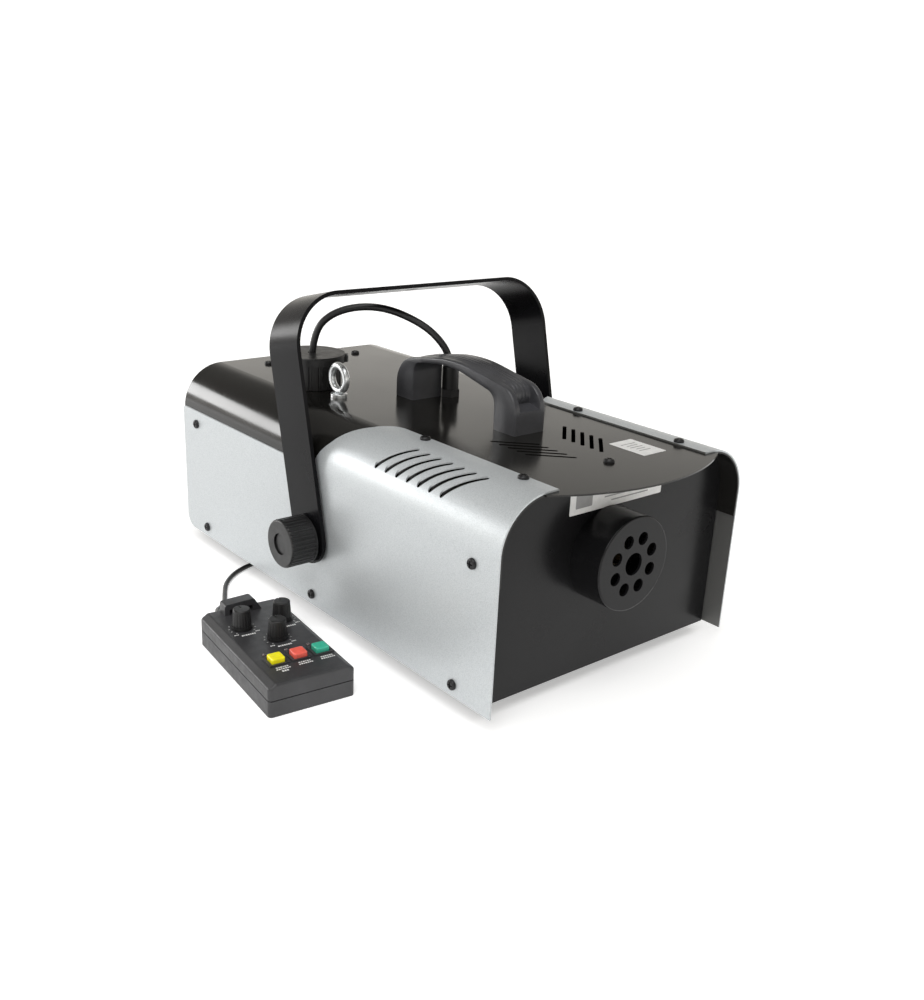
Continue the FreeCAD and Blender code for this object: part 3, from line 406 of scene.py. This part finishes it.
def circuit(finish):
    """Solder mask over copper tracks."""
    tracks = finish.cells(0.005, feature="DISTANCE_TO_EDGE")
    finish.tint(finish.spread(tracks.outputs["Distance"], 0.04, 0.06, 0.5, 0.0), (0.05, 0.3, 0.12))
    finish.gloss(0.004, 0.25, 0.4)
    finish.relief(finish.noise(0.001, 2.0), 0.00003, 0.3)


def gloss_plastic(finish):
    finish.shades(0.004, 0.12)
    finish.gloss(0.003, 0.14, 0.24)
    finish.relief(finish.noise(0.002, 2.0), 0.00003, 0.25)
    finish.set_shader(Subsurface_Weight=0.15, Subsurface_Scale=0.002)


def lamp_clear(finish):
    finish.shades(0.001, 0.3)
    finish.gloss(0.001, 0.08, 0.16)
    finish.set_shader(Coat_Weight=0.6, Coat_Roughness=0.05)


def printed(finish):
    finish.shades(0.004, 0.08)
    finish.gloss(0.002, 0.35, 0.5)
    finish.relief(finish.noise(0.0005, 2.0), 0.00001, 0.3)


# slot: (recipe, colour, metallic). The slot silver_coat is missing: its only nodes, the side panels, have
# finishes of their own below, which paint shade onto the panels' inward faces.
SLOT_FINISHES = {
    "black_coat": (black_coat, (0.0110, 0.0105, 0.0095), 0.0),
    "black_plastic": (black_plastic, (0.0085, 0.0085, 0.009), 0.0),
    "remote_plastic": (remote_plastic, (0.040, 0.040, 0.043), 0.0),
    "black_screw": (black_screw, (0.03, 0.03, 0.032), 0.6),
    "bright_zinc": (bright_zinc, (0.88, 0.90, 0.91), 0.85),
    "zinc_steel": (zinc_steel, (0.58, 0.57, 0.54), 1.0),
    "rubber": (rubber, (0.018, 0.018, 0.018), 0.0),
    "hose_black": (smooth_jacket, (0.012, 0.012, 0.013), 0.0),
    "cable_black": (smooth_jacket, (0.016, 0.016, 0.016), 0.0),
    "tank_plastic": (tank_plastic, (0.74, 0.75, 0.70), 0.0),
    "aluminium": (cast_aluminium, (0.62, 0.62, 0.62), 1.0),
    "insulation": (insulation, (0.62, 0.56, 0.42), 0.0),
    "brass": (turned_brass, (0.10, 0.07, 0.035), 1.0),
    "circuit": (circuit, (0.015, 0.11, 0.04), 0.0),
    "yellow_plastic": (gloss_plastic, (1.0, 0.88, 0.012), 0.0),
    "red_plastic": (gloss_plastic, (0.92, 0.15, 0.11), 0.0),
    "green_plastic": (gloss_plastic, (0.06, 0.50, 0.34), 0.0),
    "lamp_clear": (lamp_clear, (0.12, 0.09, 0.09), 0.0),
    "label_white": (printed, (0.80, 0.80, 0.79), 0.0),
}

# Finishes that are no slot of the record: for single nodes, and for pieces made here.
OWN_FINISHES = {
    "grip": (grip_plastic, (0.056, 0.057, 0.063), 0.0),
    "satin": (satin_coat, (0.0085, 0.0085, 0.0092), 0.0),
    "dark_satin": (dark_satin_coat, (0.0060, 0.0060, 0.0070), 0.0),
    "label_ink": (printed, (0.30, 0.30, 0.30), 0.0),
    "silver_left_painted_shade": (left_panel_coat, *SILVER),
    "silver_right_painted_shade": (right_panel_coat, *SILVER),
}

NODE_FINISHES = {
    "hanging_bracket": "dark_satin",
    "nozzle_shroud": "satin",
    "front_panel": "satin",
    "side_panel_left": "silver_left_painted_shade",
    "side_panel_right": "silver_right_painted_shade",
}


def make_materials():
    materials = {}
    for name, (recipe, *facts) in {**SLOT_FINISHES, **OWN_FINISHES}.items():
        finish = Finish(name, *facts)
        recipe(finish)
        materials[name] = finish.material
    return materials


def paint(obj, material):
    if obj.material_slots:
        for material_slot in obj.material_slots:
            material_slot.material = material
    else:
        obj.data.materials.append(material)


def paint_cad_nodes(materials):
    for subpart in frame["record"]["subparts"]:
        node = subpart["node"]
        paint(NODES[node], materials[NODE_FINISHES.get(node, subpart["material_slot"])])


# ---------------------------------------------------------------- building pieces
SHARP_EDGE = math.radians(35)


def mesh_piece(name, bm, material):
    """A piece fixed to the casing, smooth but for its sharp edges."""
    mesh = bpy.data.meshes.new(name)
    bmesh.ops.recalc_face_normals(bm, faces=bm.faces)
    bm.to_mesh(mesh)
    bm.free()
    for polygon in mesh.polygons:
        polygon.use_smooth = True
    mesh.set_sharp_from_angle(angle=SHARP_EDGE)
    piece = link(bpy.data.objects.new(name, mesh))
    piece.data.materials.append(material)
    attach(piece, "casing")
    return piece


def rounded_corner(back, here, ahead, radius, count):
    """Points along the arc that rounds one corner of an outline."""
    inward = (back - here).normalized()
    outward = (ahead - here).normalized()
    half = inward.angle(outward) / 2
    reach = radius / math.tan(half)
    centre = here + (inward + outward).normalized() * (radius / math.sin(half))
    first = here + inward * reach - centre
    last = here + outward * reach - centre
    sweep = first.angle_signed(last)
    points = []
    for index in range(count + 1):
        angle = -sweep * index / count
        turned = Vector((first.x * math.cos(angle) - first.y * math.sin(angle),
                         first.x * math.sin(angle) + first.y * math.cos(angle)))
        points.append(centre + turned)
    return points


def bridge(bm, rings):
    """Faces between closed rings of vertices."""
    for ring, follower in zip(rings, rings[1:]):
        for index in range(len(ring)):
            after = (index + 1) % len(ring)
            bm.faces.new((ring[index], ring[after], follower[after], follower[index]))


# ---------------------------------------------------------------- handle
RIM_MM = 5.4                 # flat rims beside the grip
RIM_EDGE_MM = 1.6            # rounding of the rims' outer edges
UNDER_EDGE_MM = 1.4          # and of the edges underneath
CROWN_MM = 1.0               # rise of the ribbed grip above the rims
RIB_DEPTH_MM = 0.45
RIB_SPOTS_MM = (2.0, 5.4)    # grooves each side of the middle
RIB_SHAPE = ((-0.7, 0.0), (-0.25, 1.0), (0.25, 1.0), (0.7, 0.0))   # (mm from its middle, share of the depth)
POCKET_MM = 13.0
LEDGE_MM = 18.5              # the pockets start this high above the feet
POCKET_SHARE = 0.12          # of the handle's way from either foot: where a pocket is still full depth
POCKET_FADE = 0.17           # and the share in which it then runs out
FADE_POWER = 1.3
LEG_STEPS = 10
ARC_STEPS = 14
RUN_STEPS = 16


def arch_line(corners):
    """Points of an open outline of five corners, its middle three rounded: the same count for any sizes."""
    places = [Vector(corner[:2]) for corner in corners]
    line = []
    cursor = places[0]
    for index in (1, 2, 3):
        back, here, ahead = places[index - 1:index + 2]
        arc = rounded_corner(back, here, ahead, corners[index][2], ARC_STEPS)
        steps = LEG_STEPS if index == 1 else RUN_STEPS
        line.extend(cursor.lerp(arc[0], step / steps) for step in range(steps))
        line.extend(arc[:-1])
        cursor = arc[-1]
    line.extend(cursor.lerp(places[4], step / LEG_STEPS) for step in range(LEG_STEPS + 1))
    return line


def grip_profile(half, fade):
    """Half a section of the handle's top: (distance from the middle, depth below the rims)."""
    floor = half - RIM_MM

    def crown(x):
        return -CROWN_MM * (1.0 - (x / floor) ** 2) * (1.0 - fade) + POCKET_MM * fade

    profile = [(0.0, crown(0.0))]
    for spot in RIB_SPOTS_MM:
        for offset, share in RIB_SHAPE:
            profile.append((spot + offset, crown(spot + offset) + RIB_DEPTH_MM * share * (1.0 - fade)))
    profile.extend([(floor - 0.9, crown(floor - 0.9)), (floor - 0.3, crown(floor - 0.3) * 0.95),
                    (floor, POCKET_MM * fade * 0.6), (floor + 0.3, POCKET_MM * fade * 0.1)])
    return profile


def edge_profile(half, thick):
    """The rest of that half section: the rim, the side and the flat underneath."""
    return [(half - RIM_MM + 0.9, 0.0), (half - RIM_EDGE_MM, 0.0), (half - 0.75, 0.22), (half - 0.22, 0.75),
            (half, RIM_EDGE_MM), (half, thick - UNDER_EDGE_MM), (half - 0.4, thick - 0.4),
            (half - UNDER_EDGE_MM, thick), (0.0, thick)]


def make_handle(materials):
    """The strap handle: rounded rims beside a ribbed grip, with a screw pocket above each foot."""
    lowest, highest = (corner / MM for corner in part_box("carry_handle"))
    half, front, rear, foot = highest.x, lowest.y, highest.y, lowest.z
    # the corners of both outlines from the side: (y, z, rounding)
    outer = arch_line([(front, foot), (front, foot + 32.1, 20.0), (-35.0, foot + 44.5, 150.0),
                       (rear, foot + 31.6, 24.0), (rear, foot)])
    inner = arch_line([(front + 23.8, foot), (front + 24.8, foot + 26.5, 10.0), (-32.0, foot + 38.5, 110.0),
                       (rear - 23.0, foot + 31.5, 9.0), (rear - 23.0, foot)])
    bm = bmesh.new()
    rings = []
    last = len(outer) - 1
    for index, (above, below) in enumerate(zip(outer, inner)):
        share = min(index, last - index) / last
        fade = max(0.0, min(1.0, 1.0 - (share - POCKET_SHARE) / POCKET_FADE)) ** FADE_POWER
        if above.y <= foot + LEDGE_MM:
            top = [(x, 0.0) for x, _ in grip_profile(half, 0.0)]
        else:
            top = grip_profile(half, fade)
        section = top + edge_profile(half, (above - below).length)
        way = (below - above).normalized()
        ring = []
        for x, deep in section + [(-x, deep) for x, deep in reversed(section[1:-1])]:
            spot = above + way * deep
            ring.append(bm.verts.new(Vector((x, spot.x, spot.y)) * MM))
        rings.append(ring)
    bridge(bm, rings)
    bm.faces.new(rings[0])
    bm.faces.new(rings[-1])
    handle = mesh_piece("strap_handle", bm, materials["grip"])
    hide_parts("carry_handle")


# ---------------------------------------------------------------- labels and print
RIGHTWARD, UPWARD, REARWARD = Vector((1, 0, 0)), Vector((0, 0, 1)), Vector((0, 1, 0))
CORNER_STEPS = 5
LABEL_MM = 0.15              # thickness of a label
LABEL_CORNER_MM = 1.0
LABEL_INK_MM = 0.04
COVER_LABEL_MM = (24.0, 34.0)
COVER_BARS_MM = ((9.0, 15.0), (5.0, 11.0), (1.0, 13.0), (-3.0, 9.0), (-7.0, 12.0))   # (row, width)
COVER_BAR_HEIGHT_MM = 1.1
FRONT_LABEL_MM = (93.0, 20.0)
FRONT_BARS_MM = ((4.6, 50.0), (1.2, 44.0), (-2.2, 52.0), (-5.6, 38.0))               # (row, width)
FRONT_BAR_HEIGHT_MM = 1.0
FRONT_BARS_ASIDE_MM = 13.0   # how far right of the label's middle the bars are
FRONT_BOX_ASIDE_MM = -33.0   # and the box that stands in for a sign
FRONT_BOX_MM = (16.0, 12.0)
FRONT_BOX_CORNER_MM = 0.8


def plate(bm, centre, along, across, width, height, thickness, corner=0.0):
    """A thin flat plate whose underside is centred on a point; along and across are its directions."""
    normal = along.cross(across)
    count = CORNER_STEPS if corner else 0
    outline = []
    for quarter, (right, up) in enumerate(((1, 1), (-1, 1), (-1, -1), (1, -1))):
        middle = Vector((right * (width / 2 - corner), up * (height / 2 - corner)))
        for index in range(count + 1):
            angle = math.radians(90 * (quarter + index / max(1, count)))
            outline.append(middle + Vector((math.cos(angle), math.sin(angle))) * corner)
    rings = []
    for level in (0.0, thickness):
        base = centre + normal * level
        rings.append([bm.verts.new((base + along * point.x + across * point.y) * MM) for point in outline])
    bridge(bm, rings)
    bm.faces.new(list(reversed(rings[0])))
    bm.faces.new(rings[1])


def make_labels(materials):
    """Two blank labels: bars in place of words, and a plain box in place of a sign."""
    cover_spot = Vector((44.0, -177.0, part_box("top_cover")[1].z / MM))
    front_spot = Vector((1.5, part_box("front_panel")[0].y / MM, 144.0))
    bm = bmesh.new()
    plate(bm, cover_spot, RIGHTWARD, REARWARD, *COVER_LABEL_MM, LABEL_MM, LABEL_CORNER_MM)
    plate(bm, front_spot, RIGHTWARD, UPWARD, *FRONT_LABEL_MM, LABEL_MM, LABEL_CORNER_MM)
    mesh_piece("blank_labels", bm, materials["label_white"])
    bm = bmesh.new()
    on_cover = cover_spot + UPWARD * LABEL_MM
    for row, width in COVER_BARS_MM:
        plate(bm, on_cover + REARWARD * row, RIGHTWARD, REARWARD, width, COVER_BAR_HEIGHT_MM, LABEL_INK_MM)
    on_front = front_spot - REARWARD * LABEL_MM
    for row, width in FRONT_BARS_MM:
        spot = on_front + RIGHTWARD * FRONT_BARS_ASIDE_MM + UPWARD * row
        plate(bm, spot, RIGHTWARD, UPWARD, width, FRONT_BAR_HEIGHT_MM, LABEL_INK_MM)
    spot = on_front + RIGHTWARD * FRONT_BOX_ASIDE_MM
    plate(bm, spot, RIGHTWARD, UPWARD, *FRONT_BOX_MM, LABEL_INK_MM, FRONT_BOX_CORNER_MM)
    mesh_piece("label_print", bm, materials["label_ink"])


# The remote's own frame: its front left corner, and how far it is turned on the floor.
REMOTE_CORNER_MM = Vector((-226.5, -113.3, 0))
REMOTE_TURN = math.radians(-6.0)
REMOTE_TOP_MM = 24.5
KNOB_SPOTS_MM = ((18.5, 88.0), (50.0, 87.0), (34.5, 61.0))
BUTTON_SPOTS_MM = ((19.0, 30.0), (36.0, 30.0), (53.0, 30.0))
REMOTE_INK_MM = 0.06
LETTER_GAP_MM = 0.45
TICK_COUNT = 11
TICK_START, TICK_STEP = -45, 27     # degrees
TICK_REACH_MM = 9.6
TICK_MM = (1.2, 0.35)

# dashes in place of words: (x and y from the knob or button, height, widths of its dashes)
KNOB_WORDS_MM = (
    (0.0, -12.4, 1.7, (1.3, 0.7, 1.2, 1.3, 0.9, 1.3, 1.1)),
    (-8.2, -9.6, 1.1, (1.0, 0.5, 0.9)),
    (8.2, -9.6, 1.1, (1.0, 0.9, 0.6)),
)
BUTTON_WORDS_MM = (
    (0.0, -9.8, 1.3, (1.3, 1.0, 1.4, 0.8, 1.3, 1.1)),
    (0.0, -12.3, 1.3, (1.2, 1.4, 0.8, 1.3, 1.2, 0.9, 1.0)),
)
FIRST_BUTTON_WORD_MM = (0.0, -15.4, 1.9, (1.3, 1.3, 1.3))


def remote_dash(bm, x, y, width, height, lean=0.0):
    """A white dash centred on a point of the remote's top, leaning by an angle."""
    turn = Matrix.Rotation(REMOTE_TURN, 3, "Z")
    centre = REMOTE_CORNER_MM + turn @ Vector((x, y, REMOTE_TOP_MM))
    lie = turn @ Matrix.Rotation(lean, 3, "Z")
    plate(bm, centre, lie @ RIGHTWARD, lie @ REARWARD, width, height, REMOTE_INK_MM)


def remote_word(bm, place, word):
    """A row of dashes, centred at its own distance from a knob or button."""
    across, along, height, widths = word
    x, y = place[0] + across, place[1] + along
    cursor = x - (sum(widths) + LETTER_GAP_MM * (len(widths) - 1)) / 2
    for width in widths:
        remote_dash(bm, cursor + width / 2, y, width, height)
        cursor += width + LETTER_GAP_MM


def make_remote_print(materials):
    """White marks on the remote: dashes in place of words, and a scale of ticks round each knob."""
    bm = bmesh.new()
    for x, y in KNOB_SPOTS_MM:
        for index in range(TICK_COUNT):
            angle = math.radians(TICK_START + TICK_STEP * index)
            reach = Vector((math.cos(angle), math.sin(angle))) * TICK_REACH_MM
            remote_dash(bm, x + reach.x, y + reach.y, *TICK_MM, angle)
        for word in KNOB_WORDS_MM:
            remote_word(bm, (x, y), word)
    for place in BUTTON_SPOTS_MM:
        for word in BUTTON_WORDS_MM:
            remote_word(bm, place, word)
    remote_word(bm, BUTTON_SPOTS_MM[0], FIRST_BUTTON_WORD_MM)
    mesh_piece("remote_print", bm, materials["label_white"])


# ---------------------------------------------------------------- stage and light
FLOOR_HALF = 40.0
FLOOR_DROP = 0.0002          # keeps the floor from touching what stands on it
FLOOR_GLOW = 0.40            # the floor is a light table, as in a product studio
ROOM_LIGHT = 0.22
WALL_LIGHT = 1.14
WALL_COLOUR = (1.0, 0.965, 0.90, 1.0)
HIGH_WALL_WAY = (0.35, 0.94, 0.0)   # to its middle
HIGH_WALL_SIDES = (-0.3, 0.45)      # where it begins and where it is whole, as cosines of the angle to that
HIGH_WALL_EDGE = (0.11, 0.46)       # where it begins to fade and ends, as sines of the height
LOW_WALL_EDGE = (0.16, 0.34)
LIGHT_TARGET = Vector((-0.05, 0.0, 0.12))
SUN_WAY = Vector((0.25, 0.25, -1.0))
SUN_STRENGTH = 1.6
SUN_SPREAD = math.radians(50)


def make_floor():
    bm = bmesh.new()
    bmesh.ops.create_grid(bm, x_segments=1, y_segments=1, size=FLOOR_HALF)
    mesh = bpy.data.meshes.new("floor")
    bm.to_mesh(mesh)
    bm.free()
    floor = link(bpy.data.objects.new("floor", mesh))
    floor.location.z = -FLOOR_DROP
    finish = Finish("pale_floor", (0.90, 0.90, 0.90), 0.0)
    finish.set_shader(Roughness=0.8, Specular_IOR_Level=0.1)
    finish.set_shader(Emission_Color=(1.0, 1.0, 1.0, 1.0), Emission_Strength=FLOOR_GLOW)
    floor.data.materials.append(finish.material)


def make_world():
    """A dim studio with a white wall low all round, which rises higher behind the machine."""
    world = bpy.data.worlds.new("studio")
    world.use_nodes = True
    nodes, links = world.node_tree.nodes, world.node_tree.links

    def ramp(value, low, high, start, end):
        node = nodes.new("ShaderNodeMapRange")
        node.interpolation_type = "SMOOTHSTEP"
        links.new(value, node.inputs["Value"])
        for key, number in zip(("From Min", "From Max", "To Min", "To Max"), (low, high, start, end)):
            node.inputs[key].default_value = number
        return node.outputs["Result"]

    def combine(operation, first, second):
        node = nodes.new("ShaderNodeMath")
        node.operation = operation
        links.new(first, node.inputs[0])
        links.new(second, node.inputs[1])
        return node.outputs["Value"]

    way = nodes.new("ShaderNodeTexCoord").outputs["Generated"]
    parts = nodes.new("ShaderNodeSeparateXYZ")
    links.new(way, parts.inputs["Vector"])
    height = parts.outputs["Z"]
    facing = nodes.new("ShaderNodeVectorMath")
    facing.operation = "DOT_PRODUCT"
    links.new(way, facing.inputs[0])
    facing.inputs[1].default_value = HIGH_WALL_WAY
    behind = ramp(facing.outputs["Value"], *HIGH_WALL_SIDES, 0.0, 1.0)
    high_wall = combine("MULTIPLY", ramp(height, *HIGH_WALL_EDGE, 1.0, 0.0), behind)
    wall = combine("MAXIMUM", high_wall, ramp(height, *LOW_WALL_EDGE, 1.0, 0.0))
    strength = nodes.new("ShaderNodeMapRange")
    links.new(wall, strength.inputs["Value"])
    strength.inputs["To Min"].default_value = ROOM_LIGHT
    strength.inputs["To Max"].default_value = WALL_LIGHT
    background = nodes["Background"]
    background.inputs["Color"].default_value = WALL_COLOUR
    links.new(strength.outputs["Result"], background.inputs["Strength"])
    SCENE.world = world


def hang_lamp(data, way):
    """A lamp object for this light, shining along a direction."""
    lamp = link(bpy.data.objects.new(data.name, data))
    lamp.rotation_mode = "QUATERNION"
    lamp.rotation_quaternion = way.to_track_quat("-Z", "Y")
    return lamp


def softbox(name, place, size, power):
    data = bpy.data.lights.new(name, "AREA")
    data.shape = "RECTANGLE"
    data.size, data.size_y = size
    data.energy = power
    lamp = hang_lamp(data, LIGHT_TARGET - Vector(place))
    lamp.location = place


def make_lights():
    sun = bpy.data.lights.new("overhead_light", "SUN")
    sun.energy = SUN_STRENGTH
    sun.angle = SUN_SPREAD
    hang_lamp(sun, SUN_WAY)
    softbox("left_rear_strip", (-1.8, 2.9, 0.90), (1.6, 0.85), 36.0)
    softbox("left_high_softbox", (-2.0, -1.1, 1.9), (1.4, 0.6), 15.0)


def set_colours():
    SCENE.view_settings.view_transform = "Standard"
    SCENE.view_settings.look = "None"


# ---------------------------------------------------------------- all together
def build():
    make_camera()
    hose, cable = make_cords()
    materials = make_materials()
    paint_cad_nodes(materials)
    paint(hose, materials["hose_black"])
    paint(cable, materials["cable_black"])
    make_handle(materials)
    make_labels(materials)
    make_remote_print(materials)
    make_floor()
    make_world()
    make_lights()
    set_colours()


build()
bpy.context.view_layer.update()
